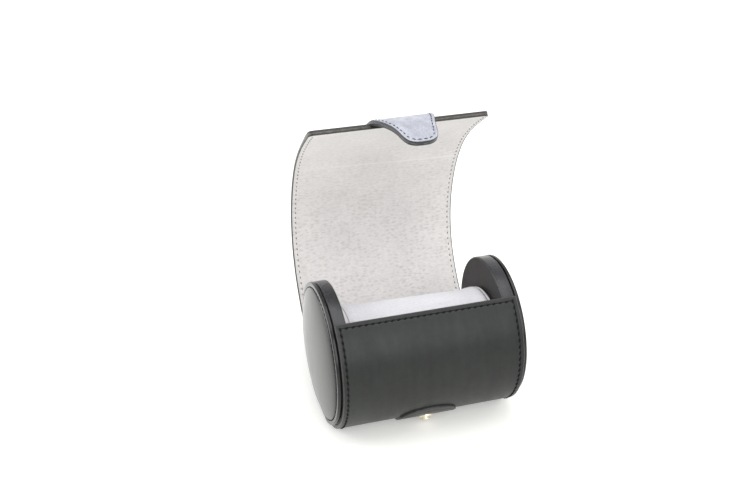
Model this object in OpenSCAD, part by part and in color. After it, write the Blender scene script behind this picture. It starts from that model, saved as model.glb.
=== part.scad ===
// Roll-up travel case for one wrist watch.
// Two round end discs are joined by a stiff wrapped wall. A soft flap runs on from the back of
// the wall, rolls over the discs and snaps shut with a tab. A cushion for the watch lies inside.
// X runs along the case, -Y is the front, Z is up, and Z = 0 is the surface that it rests on.

/* [End discs] */
// Radius of each end disc
disc_r = 38; // [35:0.5:42]
// Clear length between the two discs
inner_len = 83.8; // [76:0.2:92]
// Thickness of the stiff board inside each disc
disc_board_t = 5.8; // [4:0.1:7]
// Thickness of the leather round each disc and over its inner face
disc_skin_t = 0.8; // [0.6:0.1:1.2]
// Width of the flat that the case stands on, measured on the discs
sole_w = 24; // [16:1:28]

/* [Padded caps] */
// How far each cap stands out round its disc
cap_proud = 0.1; // [-0.5:0.1:0.6]
// Thickness of the board behind each pad
cap_board_t = 1.2; // [1:0.1:2]
// Thickness of the leather over each pad
cap_leather_t = 1; // [0.6:0.1:1.1]
// Width of the stitched border round each pad
cap_border = 2.7; // [2:0.1:5]
// How far the pad swells in the middle
cap_swell = 1.8; // [0.8:0.1:4]
// Width of the groove between each disc and its cap
cap_groove = 0.6; // [0.3:0.1:0.9]
// Radius of the turned edge of the cap's leather
cap_round = 0.7; // [0.3:0.1:0.9]

/* [Wrapped wall] */
// Thickness of the wall's lining
wall_lining_t = 0.5; // [0.4:0.1:0.8]
// Thickness of the stiffener inside the wall
wall_board_t = 0.7; // [0.6:0.1:1.2]
// Thickness of the wall's outer leather
wall_leather_t = 1.2; // [0.8:0.1:1.6]
// Height of the wall's top edge, as an angle above the axis
wall_top = 54; // [40:1:60]

/* [Flap] */
// Distance of the flap's side edges from the ends of the wall
flap_inset = 1; // [0.5:0.5:8]
// Angle past the bottom at which the flap leaves the wall
flap_start = 33.5; // [26:0.5:36]
// Space between the discs and the start of the flap
flap_clear = 0.7; // [0.5:0.1:1.2]
// Thickness of the flap's lining
flap_lining_t = 0.7; // [0.5:0.1:0.9]
// Thickness of the flap's outer leather
flap_leather_t = 1.3; // [0.9:0.1:1.6]
// Length of each of the three short arcs by the wall
flap_short = 13; // [10:0.5:15]
// Length of each of the seven long arcs
flap_long = 20.6; // [16:0.2:23]
// Slit between two sections
flap_gap = 0.3; // [0.2:0.05:0.6]
// Radius of the flap's two free corners
flap_corner_r = 5; // [2:0.5:9]

/* [Closing tab] */
// Length of the tab past the flap's hem
tab_len = 34; // [31:0.5:38]
// Length of the tab's root, sewn on the flap
tab_root = 16; // [10:0.5:18]
// Width of the tab at its root
tab_root_w = 33; // [28:0.5:40]
// Width of the tab near its tip
tab_tip_w = 21; // [17:0.5:26]
// Radius of the tab's corners at the tip
tab_corner_r = 7.5; // [3:0.5:8]
// Inner radius that the tab is set to
tab_set_r = 44.1; // [40:0.1:60]
// Slit between the tab and its sewn root
tab_gap = 0.5; // [0.4:0.05:0.8]
// Thickness of the tab's outer leather
tab_leather_t = 1.5; // [1:0.1:1.8]
// Thickness of the tab's lining
tab_lining_t = 1.4; // [1.2:0.1:1.8]

/* [Snap fastener] */
// Distance of the snap from the flap's hem, along the tab
snap_reach = 22.3; // [20:0.1:23]
// Angle of the stud below the front of the axis
stud_drop = 52; // [45:1:60]
// Radius of the stud's flange
stud_r = 4.5; // [4:0.1:6]
// Radius of the stud's bulb
bulb_r = 2.1; // [1.8:0.1:2.4]
// Play between the bulb and the socket
snap_play = 0.2; // [0.1:0.05:0.4]
// Radius of the socket's ring
socket_r = 4.8; // [4.4:0.1:6]
// Height of the socket's ring below the tab
socket_h = 1.2; // [0.8:0.1:1.4]
// Radius of the rivet's shank
rivet_r = 1.2; // [0.8:0.1:1.4]
// Radius of the rivet's head and of the socket's cap
rivet_head_r = 4; // [3.4:0.1:4.4]
// Width of the leather patch under the stud
patch_w = 31; // [24:0.5:40]
// How far the patch reaches above the stud
patch_up = 13; // [9:0.5:16]
// How far the patch reaches below the stud
patch_down = 9.5; // [7:0.5:9.5]
// Thickness of the leather patch
patch_t = 1.2; // [0.8:0.1:1.5]

/* [Cushion] */
// Radius of the cushion
cushion_r = 29.5; // [24:0.5:31]
// Space between each end of the cushion and the disc beside it
cushion_end_clear = 0.9; // [0.4:0.1:8]
// Thickness of the cushion's suede
cushion_cover_t = 1; // [0.8:0.1:1.4]
// Width of each sewn end piece, on the cushion's side
cushion_end_w = 3.5; // [3:0.1:6]
// Radius of the cushion's rounded ends
cushion_round = 3; // [1.6:0.1:3]
// Space between the cushion and the wall's lining
cushion_clear = 0.3; // [0.2:0.05:0.6]

/* [Hidden] */

$fn = 96;
// Longer than the case, for cuts that go right through
far = 400;

// The discs and the wall share one outline: a circle with a flat at the bottom
sole_drop = sqrt(disc_r * disc_r - sole_w * sole_w / 4);
wall_t = wall_lining_t + wall_board_t + wall_leather_t;
axis_z = sole_drop + wall_t;
disc_in_x = inner_len / 2;
disc_out_x = disc_in_x + disc_skin_t + disc_board_t;
wall_len = 2 * disc_out_x;

// The flap's shape is a chain of arcs, each of which starts where the last one ends.
// flap_turns is how many degrees each arc bends when the case stands open.
flap_turns = [0.5, 1, 7, 17.5, 22, 17.5, 13.5, 14, 11, 7];
last_arc = len(flap_turns) - 1;
flap_lens = [for (j = [0:last_arc]) j < 3 ? flap_short : flap_long];
// The first arc of each section. Section 0 is the root, fixed to the wall.
flap_first = [0, 1, 3, 5, 7, 8, 9, last_arc + 1];
last_section = len(flap_first) - 2;
flap_r = disc_r + flap_clear;
flap_w = wall_len - 2 * flap_inset;
flap_t = flap_lining_t + flap_leather_t;
flap_steps = 6;
tab_steps = 28;

// Place on a circle about the axis, as [y, z], at an angle past the bottom towards the back
function around(r, angle) = [r * sin(angle), -r * cos(angle)];
// Place on an arc of inner radius rho, tangent to +Y, after turning by angle, with depth outwards
function on_arc(rho, angle, depth) =
  [(rho + depth) * sin(angle), rho - (rho + depth) * cos(angle)];
function turned(p, angle) =
  [p[0] * cos(angle) - p[1] * sin(angle), p[0] * sin(angle) + p[1] * cos(angle)];
function arc_rho(j) = flap_lens[j] / flap_turns[j] * 180 / PI;
// Heading and place where arc j starts, on the flap's inner side
function arc_heading(j) = j == 0 ? flap_start : arc_heading(j - 1) + flap_turns[j - 1];
function arc_place(j) = j == 0 ? around(flap_r, flap_start)
  : arc_place(j - 1)
    + turned(on_arc(arc_rho(j - 1), flap_turns[j - 1], 0), arc_heading(j - 1));

hem_heading = arc_heading(last_arc + 1);
hem_place = arc_place(last_arc + 1) + turned([0, -flap_t], hem_heading);
tab_t = tab_lining_t + tab_leather_t;
tab_turn = tab_len / tab_set_r * 180 / PI;
snap_turn = snap_reach / tab_set_r * 180 / PI;
// The tab leaves the flap turned in by this much, so that it lies round the closed case
tab_kink = (flap_long / (tab_set_r - flap_t) * 180 / PI - flap_turns[last_arc]) / 2;

patch_r = disc_r + wall_t;
stud_base = patch_r + patch_t;
stud_flange_h = 0.7;
stud_neck_h = 0.5;
stud_bulb_h = 1.3;
stud_top = stud_base + stud_flange_h + stud_neck_h + stud_bulb_h;
rivet_head_t = 0.4;
hole_play = 0.2;
metal_edge = 0.4;
socket_wall = 0.5;
// The socket's flat ring lies a little off the curved lining
socket_lift = 0.25;

cushion_z = cushion_r + cushion_clear - sole_drop;
cushion_len = inner_len - 2 * cushion_end_clear;
seam_x = cushion_len / 2 - cushion_end_w;

// A quarter of a circle about [cx, cy], from the angle a0, for rounded corners
function corner_points(cx, cy, r, a0) =
  [for (a = [0:15:90]) [cx + r * cos(a0 + a), cy + r * sin(a0 + a)]];

// Outline of a circle with the sole's flat, for a piece that lies off outside the discs
module sole_circle(r, off = 0) {
  intersection() {
    circle(r);
    translate([-far, -sole_drop - off])
      square(2 * far);
  }
}

// Turns an outline drawn as [y, z] into a solid along X, from x0 to x1, at the axis' height
module along_x(x0, x1) {
  translate([x0, 0, axis_z])
    rotate([90, 0, 90])
      linear_extrude(x1 - x0)
        children();
}

// The same pieces for the left end
module mirrored(left) {
  mirror([left ? 1 : 0, 0, 0])
    children();
}

// A profile drawn as [radius, x], spun about the axis and cut by the sole's flat
module spun_about_axis(off = 0) {
  translate([0, 0, axis_z])
    intersection() {
      rotate([0, 90, 0])
        rotate([0, 0, 90])
          rotate_extrude($fn = 128)
            children();
      translate([-far, -far, -sole_drop - off])
        cube(2 * far);
    }
}

module disc_board(left) {
  color("tan")
    mirrored(left)
      along_x(disc_in_x + disc_skin_t, disc_out_x)
        sole_circle(disc_r - disc_skin_t, -disc_skin_t);
}

module disc_rim(left) {
  color("dimgray")
    mirrored(left)
      along_x(disc_in_x, disc_out_x)
        difference() {
          sole_circle(disc_r);
          sole_circle(disc_r - disc_skin_t, -disc_skin_t);
        }
}

module disc_facing(left) {
  color("darkslategray")
    mirrored(left)
      along_x(disc_in_x, disc_in_x + disc_skin_t)
        sole_circle(disc_r - disc_skin_t, -disc_skin_t);
}

cap_r = disc_r + cap_proud;
cap_board_x = disc_out_x + cap_board_t;
// The leather's inner side at the border is a touch outside the board
cap_pad_min = 0.25;
cap_border_x = cap_board_x + cap_pad_min + cap_leather_t;
cap_dome_r = cap_r - cap_border;
cap_dome_steps = 12;
swell_power = 0.7;
// Height of the pillow over its border: steep at the edge and almost flat in the middle
function swell(r) = cap_swell * pow(1 - pow(r / cap_dome_r, 2), swell_power);
function dome_line(base) =
  [for (i = [0:cap_dome_steps]) let (r = cap_dome_r * i / cap_dome_steps) [r, base + swell(r)]];

module cap_board(left) {
  color("tan")
    mirrored(left)
      along_x(disc_out_x, cap_board_x)
        sole_circle(cap_r - cap_leather_t, cap_proud - cap_leather_t);
}

module cap_pad(left) {
  color("khaki")
    mirrored(left)
      spun_about_axis(cap_proud - cap_leather_t)
        polygon(concat(
          dome_line(cap_board_x + cap_pad_min),
          [[cap_r - cap_leather_t, cap_board_x + cap_pad_min],
           [cap_r - cap_leather_t, cap_board_x],
           [0, cap_board_x]]));
}

module cap_leather(left) {
  rim_x = disc_out_x + cap_groove;
  color("slategray")
    mirrored(left)
      difference() {
        spun_about_axis(cap_proud)
          polygon(concat(
            [[0, rim_x], [cap_r, rim_x]],
            corner_points(cap_r - cap_round, cap_border_x - cap_round, cap_round, 0),
            [for (i = [cap_dome_steps:-1:0]) dome_line(cap_border_x)[i]]));
        spun_about_axis(cap_proud - cap_leather_t)
          polygon(concat(
            dome_line(cap_border_x - cap_leather_t),
            [[cap_r - cap_leather_t, cap_border_x - cap_leather_t],
             [cap_r - cap_leather_t, rim_x - cap_groove],
             [0, rim_x - cap_groove]]));
      }
}

// Outline of the sector of the wall, from its top edge round the bottom to the flap
module wall_sector() {
  wedge = far / 2;
  angles = [for (i = [0:8]) flap_start - (flap_start + 90 + wall_top) * i / 8];
  polygon(concat([[0, 0]], [for (a = angles) around(wedge, a)]));
}

// One layer of the wall, from in to out millimetres off the discs
module wall_layer(in, out) {
  along_x(-wall_len / 2, wall_len / 2)
    intersection() {
      difference() {
        sole_circle(disc_r + out, out);
        sole_circle(disc_r + in, in);
      }
      wall_sector();
    }
}

// Stands its children on the front of the wall: +Z points out of it at the stud
module at_stud() {
  translate([0, 0, axis_z])
    rotate([90 + stud_drop, 0, 0])
      children();
}

module wall_lining() {
  color("gainsboro")
    wall_layer(0, wall_lining_t);
}

module wall_stiffener() {
  color("tan")
    difference() {
      wall_layer(wall_lining_t, wall_lining_t + wall_board_t);
      at_stud()
        cylinder(h = disc_r + wall_t, r = rivet_head_r + hole_play);
    }
}

module wall_leather() {
  color("darkslategray")
    difference() {
      wall_layer(wall_lining_t + wall_board_t, wall_t);
      at_stud()
        cylinder(h = disc_r + 2 * wall_t, r = rivet_r + hole_play);
    }
}

// Outline with rounded corners, higher in the middle of its top edge by crown
patch_corner_r = 5;
patch_crown = 2.5;
function crowned(x, y) = y > 0 ? y + patch_crown * (1 - pow(2 * x / patch_w, 2)) : y;
function patch_outline() =
  let (x = patch_w / 2 - patch_corner_r)
  let (top = [for (i = [3:-1:-3]) [x * i / 4, patch_up]])
  let (points = concat(
    corner_points(x, patch_up - patch_corner_r, patch_corner_r, 0), top,
    corner_points(-x, patch_up - patch_corner_r, patch_corner_r, 90),
    corner_points(-x, patch_corner_r - patch_down, patch_corner_r, 180),
    corner_points(x, patch_corner_r - patch_down, patch_corner_r, 270)))
  [for (p = points) [p[0], crowned(p[0], p[1])]];

module stud_patch() {
  color("darkslategray")
    difference() {
      intersection() {
        along_x(-patch_w, patch_w)
          difference() {
            circle(patch_r + patch_t);
            circle(patch_r);
          }
        at_stud()
          translate([0, 0, disc_r / 2])
            linear_extrude(disc_r)
              polygon(patch_outline());
      }
      at_stud()
        cylinder(h = disc_r + 2 * wall_t + patch_t, r = rivet_r + hole_play);
    }
}

module snap_stud() {
  flange_top = stud_base + stud_flange_h;
  neck_top = flange_top + stud_neck_h;
  bore_top = neck_top + stud_bulb_h / 2;
  color("goldenrod")
    difference() {
      at_stud()
        rotate_extrude()
          polygon([
            [0, patch_r], [stud_r, patch_r], [stud_r, flange_top - metal_edge],
            [stud_r - metal_edge, flange_top], [bulb_r - metal_edge, flange_top],
            [bulb_r - metal_edge, neck_top], [bulb_r, neck_top + metal_edge],
            [bulb_r, stud_top - metal_edge], [bulb_r - metal_edge, stud_top],
            [0, stud_top]]);
      translate([0, 0, axis_z])
        rotate([0, 90, 0])
          cylinder(h = far, r = stud_base, center = true, $fn = 360);
      at_stud()
        cylinder(h = bore_top, r = rivet_r);
    }
}

module stud_rivet() {
  // The flat head clears the curved lining under it
  head_z = disc_r + wall_lining_t + 0.05;
  shank_top = stud_base + stud_flange_h + stud_neck_h;
  color("darkgoldenrod")
    at_stud()
      translate([0, 0, head_z]) {
        cylinder(h = rivet_head_t, r = rivet_head_r);
        cylinder(h = shank_top - head_z, r = rivet_r);
      }
}

// Puts its children at a place [y, z]: +Y runs on along the heading and -Z points outwards
module at_station(place, heading) {
  translate([0, place[0], place[1] + axis_z])
    rotate([heading, 0, 0])
      children();
}

// A bent strip at the origin of a station, between two depths and two turns of its arc
module bent_strip(w, rho, from, to, depth0, depth1, steps = flap_steps) {
  inner = [for (i = [0:steps]) on_arc(rho, from + (to - from) * i / steps, depth0)];
  outer = [for (i = [steps:-1:0]) on_arc(rho, from + (to - from) * i / steps, depth1)];
  translate([-w / 2, 0, 0])
    rotate([90, 0, 90])
      linear_extrude(w)
        polygon(concat(inner, outer));
}

// The line of section k at one depth, with half a slit left free at each hinge
function section_line(k, depth) = [
  for (j = [flap_first[k]:flap_first[k + 1] - 1])
    let (slit = flap_gap / 2 / arc_rho(j) * 180 / PI)
    let (from = k > 0 && j == flap_first[k] ? slit : 0)
    let (cut = k < last_section && j == flap_first[k + 1] - 1 ? slit : 0)
    for (i = [(j == flap_first[k] ? 0 : 1):flap_steps])
      let (turn = from + (flap_turns[j] - cut - from) * i / flap_steps)
      arc_place(j) + turned(on_arc(arc_rho(j), turn, depth), arc_heading(j))];

// Section k of the flap, between two depths. The last one has rounded corners at the hem.
module flap_section(k, depth0, depth1) {
  inner = section_line(k, depth0);
  outer = section_line(k, depth1);
  top = len(outer) - 1;
  intersection() {
    along_x(-flap_w / 2, flap_w / 2)
      polygon(concat(inner, [for (i = [top:-1:0]) outer[i]]));
    if (k == last_section)
      at_station(arc_place(last_arc), arc_heading(last_arc))
        hem_plan();
    else
      cube(2 * far, center = true);
  }
}

module hem_plan() {
  hem_y = flap_lens[last_arc];
  end = hem_y + flap_t;
  half = flap_w / 2;
  r = flap_corner_r;
  translate([0, 0, -far / 4])
    linear_extrude(far / 2)
      polygon(concat(
        corner_points(half - r, hem_y - r, r, 0),
        corner_points(r - half, hem_y - r, r, 90),
        [[-half, -end], [half, -end]]));
}

module flap_lining(k) {
  color("gainsboro")
    flap_section(k, 0, flap_lining_t);
}

module flap_leather(k) {
  color("darkslategray")
    flap_section(k, flap_lining_t, flap_t);
}

// Half width of the tab at a distance past the hem: it narrows in an S and ends in round corners
tab_waist = 0.85;
function smooth(t) = t < 0 ? 0 : t > 1 ? 1 : t * t * (3 - 2 * t);
function tab_half(s) =
  let (side = tab_root_w / 2 - (tab_root_w - tab_tip_w) / 2 * smooth(s / (tab_waist * tab_len)))
  let (over = s - (tab_len - tab_corner_r))
  over <= 0 ? side : side - tab_corner_r + sqrt(max(0, pow(tab_corner_r, 2) - over * over));
// How far along the tab's chord a point lies
function tab_chord(s) =
  let (a = s / tab_set_r * 180 / PI)
  tab_set_r * (sin(a - tab_turn / 2) + sin(tab_turn / 2));
function tab_side(sign) =
  [for (i = [0:tab_steps]) let (s = tab_len * i / tab_steps) [sign * tab_half(s), tab_chord(s)]];

// One layer of the free tab. A flat cut at the hem keeps it clear of its sewn root.
module tab_layer(depth0, depth1) {
  start = -2 * tab_t;
  side = concat([[tab_root_w / 2, start]], tab_side(1));
  other = concat([[-tab_root_w / 2, start]], tab_side(-1));
  last = len(other) - 1;
  start_turn = start / tab_set_r * 180 / PI;
  intersection() {
    at_station(hem_place, hem_heading + tab_kink)
      intersection() {
        bent_strip(2 * tab_root_w, tab_set_r, start_turn, tab_turn, depth0, depth1, tab_steps);
        rotate([tab_turn / 2, 0, 0])
          translate([0, 0, -far / 4])
            linear_extrude(far / 2)
              polygon(concat(side, [for (i = [last:-1:0]) other[i]]));
      }
    at_station(hem_place, hem_heading)
      translate([-far / 2, tab_gap, -far / 2])
        cube(far);
  }
}

// Stands its children on the tab's inner side, at the snap: +Z points into the case
module at_snap() {
  at_station(hem_place, hem_heading + tab_kink)
    translate([0, on_arc(tab_set_r, snap_turn, 0)[0], on_arc(tab_set_r, snap_turn, 0)[1]])
      rotate([snap_turn, 0, 0])
        children();
}

cap_pocket = 0.75;
module tab_leather() {
  color("lightslategray")
    tab_layer(tab_lining_t, tab_t);
}

module tab_lining() {
  color("darkslategray")
    difference() {
      tab_layer(0, tab_lining_t);
      at_snap() {
        translate([0, 0, -far / 8])
          cylinder(h = far / 4, r = bulb_r + snap_play + socket_wall + hole_play);
        translate([0, 0, -cap_pocket - tab_leather_t])
          cylinder(h = tab_leather_t, r = rivet_head_r + hole_play);
      }
    }
}

module snap_socket() {
  bore = bulb_r + snap_play;
  color("goldenrod")
    at_snap()
      rotate_extrude()
        polygon([
          [bore, -cap_pocket], [bore + socket_wall, -cap_pocket],
          [bore + socket_wall, socket_lift], [socket_r - metal_edge, socket_lift],
          [socket_r, socket_lift + metal_edge], [socket_r, socket_h - metal_edge],
          [socket_r - metal_edge, socket_h], [bore + metal_edge, socket_h],
          [bore, socket_h - metal_edge]]);
}

module socket_cap() {
  color("darkgoldenrod")
    at_snap()
      translate([0, 0, -cap_pocket - rivet_head_t])
        cylinder(h = rivet_head_t, r = rivet_head_r);
}

// One layer of the tab's root, which is sewn on the last section of the flap
module tab_root_layer(depth0, depth1) {
  j = last_arc;
  half = tab_root_w / 2;
  r = tab_root_w / 4;
  start = flap_lens[j] - tab_root;
  at_station(arc_place(j), arc_heading(j))
    intersection() {
      bent_strip(tab_root_w, arc_rho(j), 0, flap_turns[j], flap_t + depth0, flap_t + depth1);
      translate([0, 0, -far / 4])
        linear_extrude(far / 2)
          polygon(concat(
            corner_points(r - half, start + r, r, 180),
            corner_points(half - r, start + r, r, 270),
            [[half, far], [-half, far]]));
    }
}

module tab_root_lining() {
  color("darkslategray")
    tab_root_layer(0, tab_lining_t);
}

module tab_root_leather() {
  color("lightslategray")
    tab_root_layer(tab_lining_t, tab_t);
}

module about_cushion() {
  translate([0, 0, axis_z + cushion_z])
    rotate([0, 90, 0])
      children();
}

module cushion_sleeve() {
  color("whitesmoke")
    about_cushion()
      difference() {
        cylinder(h = 2 * seam_x, r = cushion_r, center = true);
        cylinder(h = 4 * seam_x, r = cushion_r - cushion_cover_t, center = true);
      }
}

// Half of the cushion's outline as [radius, x], with a rounded end, shrunk by off
module cushion_half(off) {
  r = cushion_r - off;
  x = cushion_len / 2 - off;
  round_r = cushion_round - off;
  square([r, x - round_r]);
  square([r - round_r, x]);
  translate([r - round_r, x - round_r])
    intersection() {
      circle(round_r);
      square(2 * round_r);
    }
}

module cushion_end(left) {
  color("whitesmoke")
    about_cushion()
      mirror([0, 0, left ? 1 : 0])
        rotate_extrude()
          intersection() {
            difference() {
              cushion_half(0);
              cushion_half(cushion_cover_t);
            }
            translate([0, seam_x])
              square(far);
          }
}

module cushion_core() {
  color("khaki")
    about_cushion()
      for (side = [0, 1])
        mirror([0, 0, side])
          rotate_extrude()
            cushion_half(cushion_cover_t);
}

disc_board(true);  // disc_board_left
disc_board(false);  // disc_board_right
disc_rim(true);  // disc_rim_left
disc_rim(false);  // disc_rim_right
disc_facing(true);  // disc_facing_left
disc_facing(false);  // disc_facing_right
cap_board(true);  // cap_board_left
cap_board(false);  // cap_board_right
cap_pad(true);  // cap_pad_left
cap_pad(false);  // cap_pad_right
cap_leather(true);  // cap_leather_left
cap_leather(false);  // cap_leather_right
wall_lining();
wall_stiffener();
wall_leather();
stud_patch();
snap_stud();
stud_rivet();
flap_lining(0);  // flap_root_lining
flap_lining(1);  // flap_lining_1
flap_lining(2);  // flap_lining_2
flap_lining(3);  // flap_lining_3
flap_lining(4);  // flap_lining_4
flap_lining(5);  // flap_lining_5
flap_lining(6);  // flap_lining_6
flap_leather(0);  // flap_root_leather
flap_leather(1);  // flap_leather_1
flap_leather(2);  // flap_leather_2
flap_leather(3);  // flap_leather_3
flap_leather(4);  // flap_leather_4
flap_leather(5);  // flap_leather_5
flap_leather(6);  // flap_leather_6
tab_root_lining();
tab_root_leather();
tab_leather();
tab_lining();
snap_socket();
socket_cap();
cushion_core();
cushion_sleeve();
cushion_end(true);  // cushion_end_left
cushion_end(false);  // cushion_end_right
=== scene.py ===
import math

import bmesh
import bpy
import numpy as np
from mathutils.bvhtree import BVHTree
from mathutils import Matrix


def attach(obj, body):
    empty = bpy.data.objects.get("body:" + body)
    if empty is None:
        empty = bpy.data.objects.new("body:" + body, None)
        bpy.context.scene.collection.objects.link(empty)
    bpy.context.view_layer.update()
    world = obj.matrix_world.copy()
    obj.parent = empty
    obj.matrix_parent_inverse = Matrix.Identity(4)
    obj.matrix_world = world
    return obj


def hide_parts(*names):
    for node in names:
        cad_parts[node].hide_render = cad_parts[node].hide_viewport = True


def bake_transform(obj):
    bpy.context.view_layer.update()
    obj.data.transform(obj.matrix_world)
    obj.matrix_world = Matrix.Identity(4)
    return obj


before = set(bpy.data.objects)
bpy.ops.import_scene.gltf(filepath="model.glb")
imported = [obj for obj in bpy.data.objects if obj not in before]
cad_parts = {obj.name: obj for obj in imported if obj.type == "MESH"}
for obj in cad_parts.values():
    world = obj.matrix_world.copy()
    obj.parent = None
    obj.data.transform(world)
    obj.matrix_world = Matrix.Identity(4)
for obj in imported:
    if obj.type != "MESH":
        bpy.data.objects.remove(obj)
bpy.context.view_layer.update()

# ---------------------------------------------------------------------------
# Camera. It looks at the case from the front left and from above, with a short
# telephoto lens.

look_down = math.radians(30.2399)
look_right = math.radians(16.4969)
camera_data = bpy.data.cameras.new("camera")
camera_data.sensor_width = 36.0
camera_data.lens = 58.64
camera_data.clip_start = 0.01
camera = bpy.data.objects.new("camera", camera_data)
camera.location = (-0.1729, -0.5150, 0.40965)
camera.rotation_euler = (math.pi / 2 - look_down, 0, -look_right)
bpy.context.collection.objects.link(camera)
bpy.context.scene.camera = camera

# ---------------------------------------------------------------------------
# End discs. Each is a stiff board with a strip of smooth leather drawn round
# its rim and turned over its inner edge, and a disc of leather glued inside.
# Sizes here and below are in millimetres, and in metres inside the finishes.

disc_radius = 38.0
disc_inner_x, disc_outer_x = 41.9, 48.5
wall_thick = 2.4
sole_half_width = 12.0
sole_drop = math.sqrt(disc_radius**2 - sole_half_width**2)
axis_height = sole_drop + wall_thick
both_ends = (("left", -1), ("right", 1))


def paint(red, green, blue):
    """A colour given as 0 to 255 on a screen, as the linear colour that a shader takes."""
    screen = np.array([red, green, blue]) / 255.0
    linear = np.where(screen <= 0.04045, screen / 12.92, ((screen + 0.055) / 1.055) ** 2.4)
    return (*[float(c) for c in linear], 1.0)


def feed(tree, node, sockets):
    """Sets or links a shader node's inputs, each given by its name or number."""
    for key, value in sockets.items():
        socket = node.inputs[key.replace("_", " ") if isinstance(key, str) else key]
        if isinstance(value, bpy.types.NodeSocket):
            tree.links.new(value, socket)
        else:
            socket.default_value = value
    return node


def add(tree, kind, settings=None, **sockets):
    """Adds a shader node with its settings and inputs."""
    made = tree.nodes.new("ShaderNode" + kind)
    for key, value in (settings or {}).items():
        setattr(made, key, value)
    return feed(tree, made, sockets)


def ramp(tree, factor, *stops):
    """A colour ramp through (position, colour) stops. A colour has three numbers, as on a screen,
    or four linear ones, or is one linear grey number."""
    made = add(tree, "ValToRGB", Fac=factor)
    elements = made.color_ramp.elements
    while len(elements) < len(stops):
        elements.new(0.5)
    for element, (position, colour) in zip(elements, stops):
        if not isinstance(colour, tuple):
            colour = (colour, colour, colour, 1.0)
        element.position = position
        element.color = colour if len(colour) == 4 else paint(*colour)
    return made.outputs["Color"]


def remap(tree, value, low, high, out_low, out_high):
    """Carries the range low to high over to out_low to out_high, and holds it at both ends."""
    return add(tree, "MapRange", Value=value, From_Min=low, From_Max=high, To_Min=out_low,
               To_Max=out_high).outputs[0]


def noise(tree, where, scale, detail, rough=0.5):
    """Cloudy noise between 0 and 1."""
    return add(tree, "TexNoise", Vector=where, Scale=scale, Detail=detail,
               Roughness=rough).outputs["Fac"]


def stretched(tree, where, *scale):
    """The coordinates times one scale for each axis."""
    return add(tree, "Mapping", Vector=where, Scale=scale).outputs[0]


def mixed(tree, how, factor, first, second):
    """Two colours mixed as named by how."""
    made = add(tree, "Mix", {"data_type": "RGBA", "blend_type": how})
    return feed(tree, made, {0: factor, 6: first, 7: second}).outputs[2]


def sums(tree, operation, first, second=0.0):
    """One step of arithmetic on two numbers or outputs."""
    made = add(tree, "Math", {"operation": operation})
    return feed(tree, made, {0: first, 1: second}).outputs[0]


def weighed(tree, first, first_share, second, second_share):
    """Two outputs added up, each times its share."""
    return sums(tree, "ADD", sums(tree, "MULTIPLY", first, first_share),
                sums(tree, "MULTIPLY", second, second_share))


def off_line(tree, value, line):
    """How far a value is from a line, on either side of it."""
    return sums(tree, "ABSOLUTE", sums(tree, "SUBTRACT", value, line))


def place_of(tree, on_piece):
    """Coordinates for a pattern: along the laid-out leather, or in the case's own frame."""
    if on_piece:
        return add(tree, "Attribute", {"attribute_name": "laid_flat"}).outputs["Vector"]
    return add(tree, "TexCoord").outputs["Object"]


def new_finish(name, **sockets):
    """An empty material: returns it, its node tree and its Principled surface."""
    finish = bpy.data.materials.new(name)
    finish.use_nodes = True
    tree = finish.node_tree
    return finish, tree, feed(tree, tree.nodes["Principled BSDF"], sockets)


def cover(tree, surface, colour, height, strength, distance, **sockets):
    """Gives a surface its colour and its relief, which is distance metres high at most."""
    bump = add(tree, "Bump", Height=height, Strength=strength, Distance=distance).outputs[0]
    feed(tree, surface, {"Base Color": colour, "Normal": bump, **sockets})


def smooth_leather(name, dark, light, on_piece=False, gloss=0.42, grain=1250.0, relief=0.35,
                   streak=(30.0, 30.0, 30.0), sheen=0.08, crevice=0.35, shine=0.42):
    """Full-grain leather with a satin finish: fine pebble grain, faint clouds and uneven gloss."""
    finish, tree, surface = new_finish(name, Specular_IOR_Level=shine, Coat_Weight=sheen,
                                       Coat_Roughness=0.32)
    where = place_of(tree, on_piece)
    clouds = noise(tree, stretched(tree, where, *streak), 1.0, 4.0, 0.6)
    mottle = noise(tree, where, 260.0, 3.0)
    dust = noise(tree, where, grain * 2.6, 2.0)
    pebbles = add(tree, "TexVoronoi", {"feature": "SMOOTH_F1"}, Vector=where, Scale=grain,
                  Smoothness=0.35, Randomness=0.95).outputs["Distance"]
    tone = weighed(tree, clouds, 0.7, mottle, 0.3)
    between_pebbles = ramp(tree, pebbles, (0.0, 1.0), (0.9, 0.62))
    colour = mixed(tree, "MULTIPLY", crevice, ramp(tree, tone, (0.3, dark), (0.7, light)),
                   between_pebbles)
    cover(tree, surface, colour, weighed(tree, pebbles, -0.8, dust, 0.25), relief, 0.00016,
          Roughness=remap(tree, tone, 0.25, 0.75, gloss + 0.07, gloss - 0.05))
    return finish


def card_finish(name, dark, light):
    """Bookbinder's board, with pale and dark fibres."""
    finish, tree, surface = new_finish(name, Roughness=0.9, Specular_IOR_Level=0.2)
    drawn = stretched(tree, place_of(tree, False), 900.0, 250.0, 900.0)
    fibres = noise(tree, drawn, 1.0, 5.0, 0.7)
    cover(tree, surface, ramp(tree, fibres, (0.3, dark), (0.7, light)), fibres, 0.4, 0.0001)
    return finish


def dress_node(node, finish):
    """Gives a CAD node its finish."""
    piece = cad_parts[node]
    piece.data.materials.clear()
    piece.data.materials.append(finish)


def fit(piece, slot, body=None, *nodes):
    """Hangs a piece on the body it rides on and hides the CAD nodes it stands for.
    slot is not used.
    """
    if nodes:
        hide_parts(*nodes)
    if body:
        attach(piece, body)


def grid_faces(rows, columns, closed=False):
    """The quads of a grid of rows x columns points, given row by row; closed joins the last
    column to the first."""
    r, c = np.meshgrid(np.arange(rows - 1), np.arange(columns if closed else columns - 1),
                       indexing="ij")
    here, right = r * columns + c, r * columns + (c + 1) % columns
    return np.stack([here, right, right + columns, here + columns], axis=-1).reshape(-1, 4)


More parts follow.
